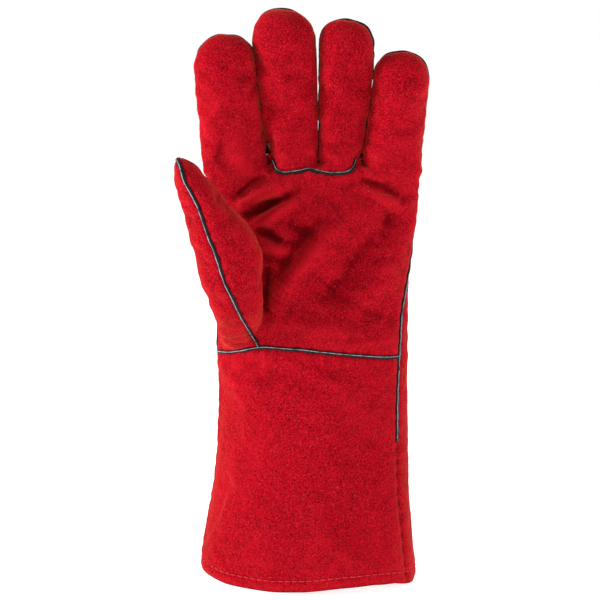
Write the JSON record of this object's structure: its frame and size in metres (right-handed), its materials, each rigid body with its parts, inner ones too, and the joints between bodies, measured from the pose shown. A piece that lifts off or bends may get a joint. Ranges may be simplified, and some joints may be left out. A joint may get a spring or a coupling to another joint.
{
  "type": "welding glove",
  "caption": "Left-hand welding gauntlet in red split leather with dark welts, cloth lining, a flared cuff and bending fingers, thumb and wrist.",
  "frame": {"origin": "centre of the cuff's mouth, level with the hem", "axes": "+Z from the hem towards the fingertips, palm towards -Y, little finger towards +X, thumb towards -X"},
  "size_m": [0.1488, 0.1034, 0.3502],
  "materials": {
    "hand_leather": "suede",
    "cuff_leather": "suede",
    "welt_leather": "satin",
    "thread": "matte",
    "cotton_lining": "matte"
  },
  "bodies": {
    "cuff": {"cuff_front": "cuff_leather", "cuff_back": "cuff_leather", "cuff_lining": "cotton_lining", "cuff_welt_ulnar": "welt_leather", "cuff_welt_radial": "welt_leather", "wrist_welt_front": "welt_leather", "wrist_welt_back": "welt_leather", "hem_stitching": "thread"},
    "hand": {"palm_panel": "hand_leather", "back_panel": "hand_leather", "palm_lining": "cotton_lining", "back_lining": "cotton_lining", "hand_welt_ulnar": "welt_leather", "hand_welt_radial": "welt_leather", "finger_base_welt": "welt_leather", "finger_crotches": "hand_leather", "thumb_base_inner": "hand_leather", "thumb_base_outer": "hand_leather", "thumb_base_welt": "welt_leather", "thumb_base_lining": "cotton_lining"},
    "index_base": {"index_base_front": "hand_leather", "index_base_back": "hand_leather", "index_base_welt": "welt_leather", "index_base_lining": "cotton_lining"},
    "index_tip": {"index_tip_front": "hand_leather", "index_tip_back": "hand_leather", "index_tip_welt": "welt_leather", "index_tip_lining": "cotton_lining"},
    "middle_base": {"middle_base_front": "hand_leather", "middle_base_back": "hand_leather", "middle_base_welt": "welt_leather", "middle_base_lining": "cotton_lining"},
    "middle_tip": {"middle_tip_front": "hand_leather", "middle_tip_back": "hand_leather", "middle_tip_welt": "welt_leather", "middle_tip_lining": "cotton_lining"},
    "ring_base": {"ring_base_front": "hand_leather", "ring_base_back": "hand_leather", "ring_base_welt": "welt_leather", "ring_base_lining": "cotton_lining"},
    "ring_tip": {"ring_tip_front": "hand_leather", "ring_tip_back": "hand_leather", "ring_tip_welt": "welt_leather", "ring_tip_lining": "cotton_lining"},
    "little_base": {"little_base_front": "hand_leather", "little_base_back": "hand_leather", "little_base_welt": "welt_leather", "little_base_lining": "cotton_lining"},
    "little_tip": {"little_tip_front": "hand_leather", "little_tip_back": "hand_leather", "little_tip_welt": "welt_leather", "little_tip_lining": "cotton_lining"},
    "thumb_mid": {"thumb_mid_inner": "hand_leather", "thumb_mid_outer": "hand_leather", "thumb_mid_welt": "welt_leather", "thumb_mid_lining": "cotton_lining"},
    "thumb_tip": {"thumb_tip_inner": "hand_leather", "thumb_tip_outer": "hand_leather", "thumb_tip_welt": "welt_leather", "thumb_tip_lining": "cotton_lining"}
  },
  "joints": [
    {"name": "wrist", "type": "hinge", "parent": "cuff", "child": "hand", "pos_m": [0, -0.018, 0.144], "axis": [1, 0, 0], "range_deg": [0, 25]},
    {"name": "index_base_knuckle", "type": "hinge", "parent": "hand", "child": "index_base", "pos_m": [-0.0418, -0.0085, 0.254], "axis": [1, 0, 0], "range_deg": [0, 45]},
    {"name": "index_middle_knuckle", "type": "hinge", "parent": "index_base", "child": "index_tip", "pos_m": [-0.04676, -0.01154, 0.298], "axis": [1, 0, 0], "range_deg": [0, 60]},
    {"name": "middle_base_knuckle", "type": "hinge", "parent": "hand", "child": "middle_base", "pos_m": [-0.007, -0.0085, 0.254], "axis": [1, 0, 0], "range_deg": [0, 45]},
    {"name": "middle_middle_knuckle", "type": "hinge", "parent": "middle_base", "child": "middle_tip", "pos_m": [-0.01092, -0.01088, 0.301], "axis": [1, 0, 0], "range_deg": [0, 60]},
    {"name": "ring_base_knuckle", "type": "hinge", "parent": "hand", "child": "ring_base", "pos_m": [0.0186, -0.0085, 0.254], "axis": [1, 0, 0], "range_deg": [0, 45]},
    {"name": "ring_middle_knuckle", "type": "hinge", "parent": "ring_base", "child": "ring_tip", "pos_m": [0.02262, -0.01081, 0.299], "axis": [1, 0, 0], "range_deg": [0, 60]},
    {"name": "little_base_knuckle", "type": "hinge", "parent": "hand", "child": "little_base", "pos_m": [0.05, -0.0085, 0.254], "axis": [1, 0, 0], "range_deg": [0, 45]},
    {"name": "little_middle_knuckle", "type": "hinge", "parent": "little_base", "child": "little_tip", "pos_m": [0.05467, -0.01087, 0.292], "axis": [1, 0, 0], "range_deg": [0, 60]},
    {"name": "thumb_base_joint", "type": "hinge", "parent": "hand", "child": "thumb_mid", "pos_m": [-0.0332, -0.042, 0.206], "axis": [0, 1, 0], "range_deg": [0, 20]},
    {"name": "thumb_tip_joint", "type": "hinge", "parent": "thumb_mid", "child": "thumb_tip", "pos_m": [-0.04619, -0.04458, 0.234], "axis": [0, 1, 0], "range_deg": [0, 35]}
  ]
}
